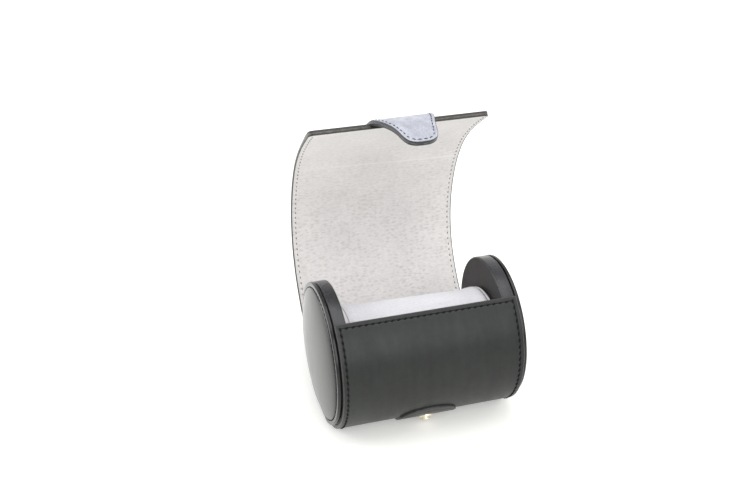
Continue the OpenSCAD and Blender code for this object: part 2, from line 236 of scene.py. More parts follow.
def full_turn(count):
    """count angles spread evenly round a circle, from 0."""
    return np.linspace(0, 2 * math.pi, count, endpoint=False)


def spots(*parts):
    """Points or directions, from one array for each coordinate, spread to a common shape."""
    return np.stack(np.broadcast_arrays(*parts), axis=-1)


def mesh_points(mesh):
    """The points of a mesh, in metres."""
    found = np.zeros(len(mesh.vertices) * 3)
    mesh.vertices.foreach_get("co", found)
    return found.reshape(-1, 3)


def make_piece(name, points, faces, finishes=(), finish_of_face=None, laid_flat=None, weld=False,
               sharp=None):
    """A mesh from points in millimetres. laid_flat gives each point's place on the flat leather.
    A shell whose volume comes out negative is turned the right way out."""
    points = np.asarray(points, float).reshape(-1, 3)
    mesh = bpy.data.meshes.new(name)
    mesh.from_pydata((points / 1000.0).tolist(), [], np.asarray(faces).tolist())
    for finish in finishes:
        mesh.materials.append(finish)
    if finish_of_face is not None:
        mesh.polygons.foreach_set("material_index", np.asarray(finish_of_face, np.int32))
    if laid_flat is not None:
        attribute = mesh.attributes.new("laid_flat", "FLOAT_VECTOR", "POINT")
        flat = np.asarray(laid_flat, float).reshape(-1, 3) / 1000.0
        attribute.data.foreach_set("vector", flat.ravel())
    if weld:
        shell = bmesh.new()
        shell.from_mesh(mesh)
        bmesh.ops.remove_doubles(shell, verts=shell.verts, dist=1e-7)
        bmesh.ops.dissolve_degenerate(shell, edges=shell.edges, dist=1e-9)
        shell.to_mesh(mesh)
        shell.free()
    mesh.calc_loop_triangles()
    triangles = np.zeros(len(mesh.loop_triangles) * 3, np.int32)
    mesh.loop_triangles.foreach_get("vertices", triangles)
    a, b, c = np.moveaxis(mesh_points(mesh)[triangles.reshape(-1, 3)], 1, 0)
    if np.einsum("ij,ij->i", a, np.cross(b, c)).sum() < 0:
        mesh.flip_normals()
    mesh.polygons.foreach_set("use_smooth", np.ones(len(mesh.polygons), bool))
    if sharp is not None:
        mesh.set_sharp_from_angle(angle=math.radians(sharp))
    mesh.update()
    piece = bpy.data.objects.new(name, mesh)
    bpy.context.collection.objects.link(piece)
    return piece


# Angles round the axis, counted from the bottom towards the back, with the sole's two corners
# among them
sole_angle = math.acos(sole_drop / disc_radius)
turn_steps = np.unique(np.round(np.concatenate([
    np.linspace(-math.pi, math.pi, 192, endpoint=False),
    np.linspace(-sole_angle, sole_angle, 13)]), 5))


def round_axis(x, radius, angle):
    """Points at x along the axis, and at a radius and an angle round it."""
    return spots(x, radius * np.sin(angle), axis_height - radius * np.cos(angle))


def sole_shrink(angle):
    """The share of the radius that the sole's flat leaves: a circle cut off by a level line."""
    down = np.cos(angle)
    level = sole_drop / disc_radius / np.maximum(down, 1e-6)
    return np.minimum(1.0, np.where(down > 0, level, 9.0))


def spun(name, profile, side, finish, wobble=None):
    """A closed profile of (radius, x) carried round the axis, in proportion over the sole's flat.
    wobble(angle, radius) adds to x. side is -1 for the left end."""
    radius, x = np.asarray(profile, float).T
    angle = turn_steps[:, None]
    out = x + wobble(angle, radius) if wobble else x
    points = round_axis(side * out, radius * sole_shrink(angle), angle)
    flat = spots(angle * radius, x, radius)
    return make_piece(name, np.concatenate([points, points[:1]]),
                      grid_faces(len(turn_steps) + 1, len(radius), closed=True), [finish],
                      laid_flat=np.concatenate([flat, flat[:1]]), weld=True, sharp=50)


quarter = np.radians(np.linspace(0, 90, 7))


def corners(radius, x, size, inner_x, inner_size):
    """A profile's two rounded corners: from its outer face round on to its rim, then from the
    rim round on to its inner face."""
    swing, sink = np.sin(quarter), np.cos(quarter)
    return np.concatenate([
        spots(radius - size + size * swing, x - size + size * sink),
        spots(radius - inner_size + inner_size * sink, inner_x + inner_size - inner_size * swing)])


board = card_finish("board", (96, 84, 70), (150, 136, 116))
rim_leather = smooth_leather("rim_leather", (13, 14, 18), (25, 27, 33), gloss=0.27, sheen=0.38,
                             shine=0.36)
facing_leather = smooth_leather("facing_leather", (12, 10, 8), (20, 17, 15), gloss=0.52,
                                shine=0.34)
rim_hidden_radius = 37.2
rim_profile = np.concatenate([
    corners(disc_radius, disc_outer_x, 0.5, disc_inner_x, 0.75),
    spots(rim_hidden_radius, [disc_inner_x + 0.05, 45.0, disc_outer_x])])
for end, side in both_ends:
    dress_node("disc_board_" + end, board)
    dress_node("disc_facing_" + end, facing_leather)
    rim = spun("disc_rim_leather_" + end, rim_profile, side, rim_leather)
    fit(rim, "charcoal_leather", "case", "disc_rim_" + end)

# ---------------------------------------------------------------------------
# Padded caps. A board is screwed to the outside of each disc, a foam pad is
# glued on it, and a round of soft leather is stretched over both. A row of
# stitches holds the leather down round the pad.

cap_radius, cap_hidden_radius = 38.1, 37.1
cap_face_x, cap_back_x = 50.95, 49.15
cap_dome_radius = 35.4
cap_rise = 3.7
cap_hollow = 1.0
cap_stitch_count = 66
cap_stitch_sunk = 0.26
cap_stitch = (2.6, 0.7)


def cap_swell(radius):
    """Height of the pillow: steep at its stitched edge and almost flat in the middle."""
    inside = np.clip(1 - (radius / cap_dome_radius) ** 2, 0, None)
    return cap_rise * inside**0.62


def stitch_dip(distance, depth, width):
    """A soft groove, deepest on the line: a bell curve of the distance from it."""
    return -depth * np.exp(-((distance / width) ** 2))


def cap_unevenness(angle, radius):
    """Slight waves of the stretched leather, strongest just inside the stitches."""
    near_edge = np.clip(radius / cap_dome_radius, 0, 1) ** 6
    wave = near_edge * 0.06 * np.sin(5 * angle + 1.3)
    pull = stitch_dip(radius - cap_dome_radius + 0.9, 0.05, 1.1) * np.cos(cap_stitch_count * angle)
    return (wave - pull) * (radius < cap_dome_radius)


def foam_finish():
    """Cream open-cell foam."""
    finish, tree, surface = new_finish("foam", Roughness=0.95, Specular_IOR_Level=0.1)
    cells = add(tree, "TexVoronoi", Vector=place_of(tree, False), Scale=1400.0).outputs["Distance"]
    colour = ramp(tree, cells, (0.1, (196, 186, 156)), (0.7, (232, 226, 204)))
    cover(tree, surface, colour, cells, 0.6, 0.0002)
    return finish


def thread_finish(name, colour):
    """Waxed linen thread: a twisted strand with a soft shine."""
    finish, tree, surface = new_finish(name, Roughness=0.6, Specular_IOR_Level=0.2)
    twist = add(tree, "TexWave", {"bands_direction": "DIAGONAL"}, Vector=place_of(tree, True),
                Scale=620.0, Distortion=0.6).outputs["Fac"]
    light = paint(*colour)
    dark = (*[c * 0.45 for c in light[:3]], 1.0)
    cover(tree, surface, ramp(tree, twist, (0.1, dark), (0.8, light)), twist, 0.5, 0.0001)
    return finish


def stitch_shells(places, along, out, size, slant=0.0):
    """Stitches as closed capsules: each starts and ends under the surface and arches over it.
    places, along and out are (n, 3) arrays: the middle of each stitch, its direction and the way
    out of the leather. size is a stitch's length and thickness."""
    length, thickness = size
    sides = rings = 7
    count = len(places)
    along = along / np.linalg.norm(along, axis=1, keepdims=True)
    run = along * math.cos(slant) + np.cross(out, along) * math.sin(slant)
    across = np.cross(out, run)
    t = np.linspace(-1, 1, rings)
    turn = full_turn(sides)
    radius = (thickness / 2 * np.sqrt(np.clip(1 - t**4, 0, 1)))[:, None]
    forward = length / 2 * t[:, None, None]
    lift = (thickness * (0.32 - 0.62 * t**2))[:, None] + radius * np.sin(turn)
    aside = radius * np.cos(turn)
    places, run, out, across = (a[:, None, None] for a in (places, run, out, across))
    points = places + run * forward + out * lift[..., None] + across * aside[..., None]
    starts = np.arange(count)[:, None, None]
    faces = (grid_faces(rings, sides, closed=True) + starts * rings * sides).reshape(-1, 4)
    flat = spots(starts * 7.0 + forward[..., 0], turn * thickness / 2, 0.0)
    return points.reshape(-1, 3), faces, flat.reshape(-1, 3)


def sew(name, rows, finish):
    """One piece of sewing: several rows of stitches as one mesh."""
    points, faces, flats, start = [], [], [], 0
    for row in rows:
        p, f, u = stitch_shells(*row)
        points.append(p)
        faces.append(f + start)
        flats.append(u)
        start += len(p)
    return make_piece(name, np.concatenate(points), np.concatenate(faces), [finish],
                      laid_flat=np.concatenate(flats), weld=True)


foam = foam_finish()
black_board = card_finish("black_board", (12, 12, 13), (24, 24, 25))
cap_leather = smooth_leather("cap_leather", (16, 16, 17), (29, 29, 30), gloss=0.17,
                             grain=1500.0, relief=0.13, sheen=0.1, shine=0.34)
dark_thread = thread_finish("dark_thread", (7, 7, 8))

dome_radii = np.concatenate([
    np.linspace(0, 30, 22), np.linspace(30.8, cap_dome_radius - 0.25, 12),
    cap_dome_radius + np.array([-0.1, 0.0, 0.1, 0.25, 0.4, 0.6, 0.9])])
dome_x = cap_face_x + cap_swell(dome_radii) + stitch_dip(dome_radii - cap_dome_radius, 0.22, 0.3)
under_radii = np.array([36.0, 34.0, 30.0, 24.0, 16.0, 8.0, 0.0])
cap_profile = np.concatenate([
    spots(dome_radii, dome_x), corners(cap_radius, cap_face_x, 0.6, cap_back_x, 0.35),
    [[cap_hidden_radius, cap_back_x]],
    spots(under_radii, cap_face_x - cap_hollow + cap_swell(under_radii))])
stitch_angles = full_turn(cap_stitch_count)
for end, side in both_ends:
    dress_node("cap_board_" + end, black_board)
    dress_node("cap_pad_" + end, foam)
    cap = spun("cap_cover_" + end, cap_profile, side, cap_leather, wobble=cap_unevenness)
    fit(cap, "charcoal_leather", "case", "cap_leather_" + end)
    ring = round_axis(side * (cap_face_x - cap_stitch_sunk),
                      cap_dome_radius * sole_shrink(stitch_angles), stitch_angles)
    forward = np.roll(ring, -1, 0) - np.roll(ring, 1, 0)
    outward = np.tile([float(side), 0.0, 0.0], (cap_stitch_count, 1))
    sewing = sew("cap_stitches_" + end, [(ring, forward, outward, cap_stitch)], dark_thread)
    fit(sewing, "charcoal_leather", "case")

# ---------------------------------------------------------------------------
# Wrapped wall. Smooth charcoal leather over a thin stiffener, lined with pale
# suede, bent round the discs and glued to them. Its cut edges are painted, and
# one row of stitches runs along its top edge and down both sides.

wall_half = 48.5
wall_top_angle = math.radians(-144.0)
wall_end_angle = math.radians(33.5)
wall_arc = (wall_end_angle - wall_top_angle) * disc_radius
edge_proud = 0.12
leather_inner = 1.2
stitch_inset = 2.4
groove_half = 0.2


def flat_circle(angle, depth):
    """Distance from the axis to the surface depth millimetres off the discs: a circle with the
    sole's flat."""
    down = np.cos(angle)
    level = np.where(down > 0, (sole_drop + depth) / np.maximum(down, 1e-6), 999.0)
    return np.minimum(disc_radius + depth, level)


def wall_place(x, s, depth):
    """s millimetres along the wall, forward from the flap's start, at a depth off the discs."""
    angle = wall_end_angle - s / disc_radius
    return round_axis(x, flat_circle(angle, depth), angle)


def rounded(inset, radius):
    """How far a rounded edge has fallen away at a distance in from the edge."""
    r = np.clip(radius - inset, 0, radius)
    return radius - np.sqrt(radius**2 - r**2)


def sewn_top(inset, thick, line, dip, width):
    """Outer depth of a leather: its thickness, less its rounded edge and the groove that its
    stitches pull along the line."""
    return thick - rounded(inset, 0.5) + stitch_dip(inset - line, dip, width)


def lipped(inset, lip, low, radius, inner):
    """Inner depth of a leather: rounded down to low along its edge, where it hides the edge of
    the lining, and inner from lip millimetres in."""
    return np.where(inset < lip, low + rounded(inset, radius), inner)


def sheet_plan(half, start, end, edge_insets, spacing, free_start=False, corner=0.0,
               extra_rows=()):
    """Plan of a leather sheet as a grid: x, distance along and inset from the nearest edge.
    half is its half width, or a function that gives it along the sheet. Lines crowd towards the
    free edges, and square corners are drawn in to arcs of radius corner."""
    insets = np.asarray(edge_insets, float)
    half_at = half if callable(half) else lambda s: np.full(len(s), float(half))
    inner = np.min(half_at(np.linspace(start, end, 50))) - insets[-1]
    fractions = np.linspace(-1, 1, max(3, int(2 * inner / spacing[0]) | 1))[1:-1]
    low, high = start, end - insets[-1]
    rows = [extra_rows, end - insets]
    if free_start:
        rows.append(start + insets)
        low += insets[-1]
    rows.append(np.linspace(low, high, max(2, int((high - low) / spacing[1]) + 1)))
    s = np.unique(np.round(np.concatenate(rows), 4))
    s = s[np.concatenate([[True], np.diff(s) > 0.03])][:, None]
    width = half_at(s[:, 0])[:, None]
    left = insets - width
    x = np.concatenate([left, (width - insets[-1]) * fractions, -left[:, ::-1]], axis=1)
    side_inset = np.concatenate([insets, np.full(len(fractions), 99.0), insets[::-1]])
    end_inset = np.minimum(end - s, s - start) if free_start else end - s
    inset = np.minimum(side_inset, end_inset)
    s = s + 0 * x
    if corner:
        p = np.clip((np.abs(x) - width + corner) / corner, 0, 1)
        q = np.clip((corner - end_inset) / corner, 0, 1)
        in_corner = (p > 0) & (q > 0)
        drawn_in = np.sign(x) * (width - corner + corner * p * np.sqrt(1 - q**2 / 2))
        pulled = corner * q * (1 - np.sqrt(1 - p**2 / 2))
        pulled = np.where(s > (start + end) / 2, s - pulled, s + pulled)
        x, s = np.where(in_corner, drawn_in, x), np.where(in_corner, pulled, s)
    return x, s, inset


def sheet_piece(name, place, plan, outer, inner, finishes, painted=0.45):
    """A closed sheet with its two skins at the depths outer and inner. Faces within painted of a
    free edge take the second finish, and the outer faces along the stitches take the third."""
    x, s, inset = plan
    points = np.concatenate([place(x, s, outer), place(x, s, inner)[:, ::-1]], axis=1)
    flat = np.concatenate([spots(x, s, outer), spots(x, s, inner)[:, ::-1]], axis=1)
    rows, columns = points.shape[:2]
    faces = grid_faces(rows, columns, closed=True)
    insets = np.concatenate([inset, inset[:, ::-1]], axis=1).ravel()[faces]
    finish_of_face = (insets.min(axis=1) < painted).astype(np.int32)
    if len(finishes) > 2:
        outside = (faces % columns).max(axis=1) < columns // 2
        on_line = np.abs(insets.mean(axis=1) - stitch_inset) < groove_half
        finish_of_face[outside & on_line] = 2
    i = np.arange(columns // 2 - 1)
    end_quads = np.stack([i, i + 1, columns - 2 - i, columns - 1 - i], axis=-1) + rows * columns
    free_ends = np.array([inset[0].min(), inset[-1].min()]) < painted
    finish_of_face = np.concatenate([finish_of_face, np.repeat(free_ends, len(i))])
    return make_piece(name, np.concatenate([points.reshape(-1, 3), points[0], points[-1]]),
                      np.concatenate([faces, end_quads, end_quads + columns]), finishes,
                      np.minimum(finish_of_face, len(finishes) - 1),
                      np.concatenate([flat.reshape(-1, 3), flat[0], flat[-1]]), sharp=55)


def painted_edge(name, middle, rim, core=0.0):
    """Edge paint: several coats on the cut edge. The fibres show through it in patches. Where core
    gives a depth in metres, a lighter band along the middle of the edge is painted highlight."""
    finish, tree, surface = new_finish(name, Specular_IOR_Level=0.5, Coat_Weight=0.15,
                                       Coat_Roughness=0.3)
    where = place_of(tree, True)
    worn = shows = noise(tree, where, 420.0, 4.0, 0.65)
    if core:
        # Painted highlight: a lighter band along the middle of the edge's depth
        depth = add(tree, "SeparateXYZ", Vector=where).outputs["Z"]
        near = remap(tree, off_line(tree, depth, core), 0.0001, 0.0007, 1.15, 0.6)
        shows = sums(tree, "MULTIPLY", worn, near)
    cover(tree, surface, ramp(tree, shows, (0.35, rim), (0.68, middle)), worn, 0.35, 0.0002,
          Roughness=ramp(tree, worn, (0.3, 0.34), (0.7, 0.52)))
    return finish


def suede_finish(name, dark, light, nap=2200.0, marks=None):
    """Brushed suede: a matt nap with soft clouds. marks(tree, where, colour, height) draws on it,
    and returns the new colour and height."""
    finish, tree, surface = new_finish(name, Roughness=0.95, Specular_IOR_Level=0.12,
                                       Sheen_Weight=0.25, Sheen_Roughness=0.45)
    where = place_of(tree, True)
    clouds = noise(tree, where, 42.0, 5.0, 0.62)
    strokes = noise(tree, stretched(tree, where, 520.0, 950.0, 950.0), 1.0, 5.0, 0.75)
    fuzz = noise(tree, where, nap, 3.0, 0.7)
    colour = ramp(tree, weighed(tree, clouds, 0.35, strokes, 0.65), (0.32, dark), (0.66, light))
    height = weighed(tree, fuzz, 0.6, strokes, 0.7)
    if marks:
        colour, height = marks(tree, where, colour, height)
    cover(tree, surface, colour, height, 0.45, 0.00025)
    return finish


wall_leather = smooth_leather("wall_leather", (14, 17, 16), (32, 36, 34), gloss=0.41,
                              shine=0.34, relief=0.3, streak=(120.0, 22.0, 22.0))
pressed_leather = smooth_leather("pressed_leather", (16, 17, 17), (24, 25, 25),
                                 gloss=0.6, shine=0.2, sheen=0.0)
black_edge = painted_edge("black_edge", (58, 56, 54), (22, 22, 24))
wall_suede = suede_finish("wall_suede", (214, 211, 208), (234, 231, 228))

wall_insets = [0, 0.06, 0.18, 0.34, 0.5, 0.7, 1.1, 1.6, 1.95, 2.15, 2.3, 2.4, 2.5, 2.65, 2.85,
               3.3, 4.2]
wall_plan = sheet_plan(wall_half + edge_proud, 0.0, wall_arc + edge_proud, wall_insets, (3.0, 1.6))
_, wall_s, wall_inset = wall_plan
run_out = 0.3 * np.clip(1 - wall_s / 9.0, 0, 1) ** 2
wall = sheet_piece("wall_cover", wall_place, wall_plan,
                   sewn_top(wall_inset, wall_thick + run_out, stitch_inset, 0.28, 0.4),
                   lipped(wall_inset, 0.56, 0.02, 0.45, leather_inner),
                   [wall_leather, black_edge, pressed_leather])
fit(wall, "charcoal_leather", "case", "wall_leather")

lining_in, lining_thick = 0.55, 0.5
lining_plan = sheet_plan(wall_half - lining_in, 0.0, wall_arc - lining_in, [0, 0.05, 0.15, 0.3],
                         (3.0, 2.4))
lining = sheet_piece("wall_lining_suede", wall_place, lining_plan,
                     lining_thick - rounded(lining_plan[2], 0.1),
                     rounded(lining_plan[2], 0.25), [wall_suede])
fit(lining, "grey_suede", "case", "wall_lining")
dress_node("wall_stiffener", board)


def sheet_stitches(place, x, s, depth, size, slant=0.0, outwards=1):
    """Stitches at the given places of a sheet, in sewing order. outwards is -1 on its lining."""
    x, s, depth = np.broadcast_arrays(x, s, depth)
    middle = place(x, s, depth)
    out = place(x, s, depth + 0.5 * outwards) - middle
    out /= np.linalg.norm(out, axis=1, keepdims=True)
    along = np.gradient(middle, axis=0)
    along -= out * np.sum(along * out, axis=1, keepdims=True)
    return middle, along, out, size, slant


# The side rows start a little behind the sole, and are drawn in deeper across it
pitch = 3.3
wall_stitch = (2.6, 0.92)
wall_slant = math.radians(24)
top_depth, side_depth, sole_depth = 2.14, 2.12, 1.62
top_line, side_line = wall_arc - stitch_inset, wall_half - stitch_inset
across_x = np.linspace(-side_line, side_line, int(2 * side_line / pitch) + 1)[1:-1]
down_s = np.arange(top_line, 6.0, -pitch)
sole_reach = (wall_end_angle + sole_angle) * disc_radius + 2.0
down_depth = np.where(down_s < sole_reach, sole_depth, side_depth)
wall_rows = [
    sheet_stitches(wall_place, x, s, depth, wall_stitch, slant) for x, s, depth, slant in (
        (across_x, top_line, top_depth, wall_slant), (-side_line, down_s, down_depth, wall_slant),
        (side_line, down_s, down_depth, -wall_slant))]
fit(sew("wall_stitches", wall_rows, dark_thread), "charcoal_leather", "case")

# ---------------------------------------------------------------------------
# Stud patch, stud and rivet. A second piece of the same leather is glued on
# the front to carry the strain of the snap. The brass stud is riveted through
# it, with the rivet's flat head under the lining.

stud_angle = math.radians(-38.0)
patch_half = 15.5
patch_up, patch_down, patch_crown = 10.5, 9.5, 5.0
patch_depth = 3.6
patch_insets = [0, 0.05, 0.15, 0.3, 0.5, 0.8, 1.2, 1.6, 1.9, 2.1, 2.25, 2.4, 2.55, 2.7, 3.0]


def patch_place(x, s, depth):
    """s millimetres up from the stud over the wall; the upper edge is crowned in the middle."""
    crown = s / patch_up * patch_crown * (1 - (x / patch_half) ** 2)
    angle = stud_angle - (s + np.where(s > 0, crown, 0.0)) / (disc_radius + wall_thick)
    return round_axis(x, disc_radius + depth, angle)


def brass_finish():
    """Lacquered brass: a warm metal with fine turning marks and a little tarnish."""
    finish, tree, surface = new_finish("brass", Metallic=1.0)
    where = place_of(tree, False)
    tarnish = noise(tree, where, 500.0, 4.0)
    colour = ramp(tree, tarnish, (0.3, (226, 214, 186)), (0.7, (250, 243, 224)))
    cover(tree, surface, colour, noise(tree, where, 4200.0, 2.0), 0.12, 0.0001,
          Roughness=ramp(tree, tarnish, (0.3, 0.2), (0.7, 0.32)))
    return finish


patch_plan = sheet_plan(patch_half, -patch_down, patch_up, patch_insets, (1.6, 1.4),
                        free_start=True, corner=5.0)
patch = sheet_piece("stud_patch_leather", patch_place, patch_plan,
                    sewn_top(patch_plan[2], patch_depth, stitch_inset, 0.15, 0.3), wall_thick,
                    [wall_leather, black_edge], painted=0.35)
fit(patch, "charcoal_leather", "case", "stud_patch")
brass = brass_finish()
for fitting in ("snap_stud", "stud_rivet"):
    dress_node(fitting, brass)

# ---------------------------------------------------------------------------
# Flap. One sheet of the wall's leather runs on past the discs, lined with pale
# pored suede that stops short of the painted edge. It bends freely, and is made
# as strips, each but the last lying across the join of two bodies of the frame.

flap_half = 47.5
flap_thick = 2.0
flap_corner = 3.2
flap_start_radius = 38.7
lean_from, lean_right, lean_wider, left_lift = 140.0, 1.65, 0.75, 0.8
hem_from, hem_run, hem_extra = 160.0, 20.0, 0.8
arc_degrees = [0.5, 1, 7, 17.5, 22, 17.5, 13.5, 14, 11, 7]
arc_bends = np.radians(arc_degrees)
arc_lengths = np.array([13.0] * 3 + [20.6] * 7)


def running(steps):
    """The sums of the steps so far, from 0."""
    return np.concatenate([[0.0], np.cumsum(steps)])


arc_starts = running(arc_lengths)
curvatures = arc_bends / arc_lengths
arc_headings = wall_end_angle + running(arc_bends)
arc_y = (flap_start_radius * math.sin(wall_end_angle)
         + running(np.diff(np.sin(arc_headings)) / curvatures))
arc_z = (axis_height - flap_start_radius * math.cos(wall_end_angle)
         + running(-np.diff(np.cos(arc_headings)) / curvatures))
flap_length = float(arc_starts[-1])


def flap_line(s):
    """Place and heading on the flap's inner side: a chain of arcs, each tangent to the one
    before."""
    k = np.clip(np.searchsorted(arc_starts, s, side="right") - 1, 0, len(curvatures) - 1)
    heading = arc_headings[k] + curvatures[k] * (s - arc_starts[k])
    y = arc_y[k] + (np.sin(heading) - np.sin(arc_headings[k])) / curvatures[k]
    z = arc_z[k] - (np.cos(heading) - np.cos(arc_headings[k])) / curvatures[k]
    return y, z, heading


def eased(t):
    """0 below 0, 1 above 1, and a smooth S between."""
    t = np.clip(t, 0, 1)
    return t * t * (3 - 2 * t)


def flap_place(x, s, depth):
    """A place on the flap: s along it from the wall, at a depth from its inner side outwards.
    Near the hem the soft leather leans a little to the right, and its left corner stands a
    little outwards."""
    y, z, heading = flap_line(s)
    share = eased((s - lean_from) / (flap_length - lean_from))
    lean = share * (lean_right + lean_wider * x / flap_half)
    depth = depth + share * left_lift * (0.5 - x / (2 * flap_half))
    return spots(x + lean, y + depth * np.sin(heading), z - depth * np.cos(heading))


hinge_arcs = [1, 3, 5, 7, 8, 9]
section_starts = np.concatenate([[0.0], arc_starts[hinge_arcs], [flap_length]])
section_middles = (section_starts[:-1] + section_starts[1:]) / 2
flap_breaks = np.concatenate([[0.0], section_middles[1:], [flap_length]])
flap_bodies = ["case"] + ["flap_%d" % k for k in range(1, 7)]


def hang_strip(piece, k):
    """Strip k has its place baked into its mesh, except the last, which rides on its body."""
    if k < len(flap_bodies) - 1:
        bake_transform(piece)
    else:
        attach(piece, flap_bodies[k])


def share_shading(strips):
    """Gives the two rows of points at each join the same normals, so that no line shows."""
    normals = []
    for piece, _, _ in strips:
        n = np.zeros(len(piece.data.vertices) * 3)
        piece.data.vertex_normals.foreach_get("vector", n)
        normals.append(n.reshape(-1, 3))
    for (_, rows, columns), here, there in zip(strips, normals, normals[1:]):
        last = slice((rows - 1) * columns, rows * columns)
        shared = here[last] + there[:columns]
        shared /= np.linalg.norm(shared, axis=1, keepdims=True)
        here[last] = there[:columns] = shared
    for (piece, _, _), n in zip(strips, normals):
        piece.data.normals_split_custom_set_from_vertices(n.tolist())


def flap_strips(layer, plan, breaks, outer, inner, finishes, slot):
    """Cuts one long sheet at its breaks into strips that share their rows, and shades them as
    one. The first stands for the CAD node of the flap's root in that layer."""
    x, s, _ = plan
    strips = []
    for k in range(len(flap_bodies)):
        rows = (s[:, 0] >= breaks[k] - 1e-3) & (s[:, x.shape[1] // 2] <= breaks[k + 1] + 1e-3)
        cut = [np.broadcast_to(a, x.shape)[rows] for a in (*plan, outer, inner)]
        piece = sheet_piece("flap_%s_strip_%d" % (layer, k + 1), flap_place, cut[:3], *cut[3:],
                            finishes)
        fit(piece, slot, None, "flap_%s_%d" % (layer, k) if k else "flap_root_" + layer)
        strips.append((piece, int(rows.sum()), 2 * x.shape[1]))
    share_shading(strips)
    for k, (piece, _, _) in enumerate(strips):
        hang_strip(piece, k)


def pores_and_crease(tree, where, colour, height):
    """Short dark pore marks in loose wavy rows, fainter towards the hem, and one pale crease
    straight across where the suede has been folded."""
    warp = add(tree, "TexNoise", Vector=where, Scale=90.0, Detail=2.0).outputs["Color"]
    bent = add(tree, "VectorMath", {"operation": "SCALE"}, Vector=warp, Scale=0.005).outputs[0]
    wavy = feed(tree, add(tree, "VectorMath", {"operation": "ADD"}), {0: where, 1: bent})
    rows = stretched(tree, wavy.outputs[0], 290.0, 640.0, 1.0)
    cells = add(tree, "TexVoronoi", {"voronoi_dimensions": "2D"}, Vector=rows, Scale=1.0,
                Randomness=1.0).outputs
    dot = ramp(tree, cells["Distance"], (0.14, 0.0), (0.5, 1.0))
    chance = add(tree, "SeparateColor", Color=cells["Color"]).outputs["Red"]
    kept = ramp(tree, chance, (0.45, 1.0), (0.75, 0.0))
    patches = ramp(tree, noise(tree, where, 70.0, 3.0), (0.36, 0.45), (0.6, 1.0))
    split = add(tree, "SeparateXYZ", Vector=where).outputs
    strength = sums(tree, "MULTIPLY", sums(tree, "MULTIPLY", kept, patches),
                    remap(tree, split["Y"], 0.08, 0.16, 1.0, 0.3))
    shade = mixed(tree, "MIX", dot, (0.85, 0.835, 0.82, 1.0), (1.0, 1.0, 1.0, 1.0))
    colour = mixed(tree, "MULTIPLY", strength, colour, shade)
    height = sums(tree, "ADD", height, sums(tree, "MULTIPLY", dot, 0.35))
    level = sums(tree, "ADD", split["Y"], sums(tree, "MULTIPLY", split["X"], 0.055))
    fold = remap(tree, off_line(tree, level, 0.1313), 0.0, 0.0013, 1.0, 0.0)
    worn = remap(tree, split["X"], -0.045, 0.02, 0.12, 0.5)
    pale = sums(tree, "MULTIPLY", fold, worn)
    return mixed(tree, "MIX", pale, colour, paint(246, 244, 242)), height


flap_leather = smooth_leather("flap_leather", (18, 20, 19), (28, 31, 29), on_piece=True,
                              gloss=0.41, shine=0.34, relief=0.3)
brown_edge = painted_edge("brown_edge", (92, 87, 78), (24, 22, 20), core=0.0013)
flap_suede = suede_finish("flap_suede", (212, 209, 208), (240, 237, 236),
                          marks=pores_and_crease)
grey_thread = thread_finish("grey_thread", (66, 64, 62))
pale_thread = thread_finish("pale_thread", (142, 139, 135))

flap_spacing = (3.2, 1.3)
flap_insets = [0, 0.06, 0.18, 0.34, 0.5, 0.75, 0.95, 1.3, 1.8, 2.05, 2.2, 2.3, 2.4, 2.5, 2.7, 3.1,
               4.0]
flap_plan = sheet_plan(flap_half, 0.0, flap_length, flap_insets, flap_spacing,
                       corner=flap_corner, extra_rows=flap_breaks)
_, flap_s, flap_inset = flap_plan
thick_there = flap_thick + hem_extra * eased((flap_s - hem_from) / hem_run)
flap_strips("leather", flap_plan, flap_breaks,
            sewn_top(flap_inset, thick_there, stitch_inset, 0.2, 0.34),
            lipped(flap_inset, 0.47, 0.04, 0.4, 0.66),
            [flap_leather, brown_edge, pressed_leather], "charcoal_leather")

suede_in = 0.5
suede_length = flap_length - suede_in
suede_insets = [0, 0.05, 0.14, 0.3, 0.6, 1.2, 1.6, 1.75, 1.9, 2.05, 2.2, 2.6]
suede_plan = sheet_plan(flap_half - suede_in, 0.0, suede_length, suede_insets, flap_spacing,
                        corner=flap_corner - suede_in, extra_rows=flap_breaks[:-1])
suede_inset = suede_plan[2]
suede_inner = (rounded(suede_inset, 0.28)
               - stitch_dip(suede_inset - stitch_inset + suede_in, 0.1, 0.3))
flap_strips("lining", suede_plan, np.append(flap_breaks[:-1], suede_length), 0.7, suede_inner,
            [flap_suede], "grey_suede")

flap_side = flap_half - stitch_inset
# Name, thread, depth, length and thickness, slant, and 1 outside or -1 on the lining
flap_sewing = (
    ("flap_stitches_", grey_thread, flap_thick - 0.28, (2.7, 0.78), math.radians(12), 1),
    ("flap_lining_stitches_", pale_thread, 0.12, (1.5, 0.55), math.radians(-8), -1))
stitch_s = np.arange(flap_length - stitch_inset - 0.5 * pitch, 2.0, -pitch)[::-1]
stitch_s = stitch_s[stitch_s < flap_length - flap_corner]
hem_reach = flap_side - 3.0
hem_x = np.linspace(-hem_reach, hem_reach, int(2 * hem_reach / pitch) + 1)
for k in range(len(flap_bodies)):
    here = stitch_s[(stitch_s > flap_breaks[k]) & (stitch_s <= flap_breaks[k + 1])]
    for name, thread, depth, size, slant, outwards in flap_sewing:
        rows = [sheet_stitches(flap_place, sign * flap_side, here, depth, size, sign * slant,
                               outwards) for sign in (-1, 1)]
        if outwards > 0 and k == len(flap_bodies) - 1:
            rows.append(sheet_stitches(flap_place, hem_x, flap_length - stitch_inset, depth, size,
                                       slant))
        piece = sew(name + str(k + 1), rows, thread)
        fit(piece, "charcoal_leather")
        hang_strip(piece, k)

# ---------------------------------------------------------------------------
# Closing tab. Two pieces of leather sewn back to back with a painted edge. Its
# root is sewn on the outside of the flap, and its free end bends over the hem
# and carries the snap's socket underneath.

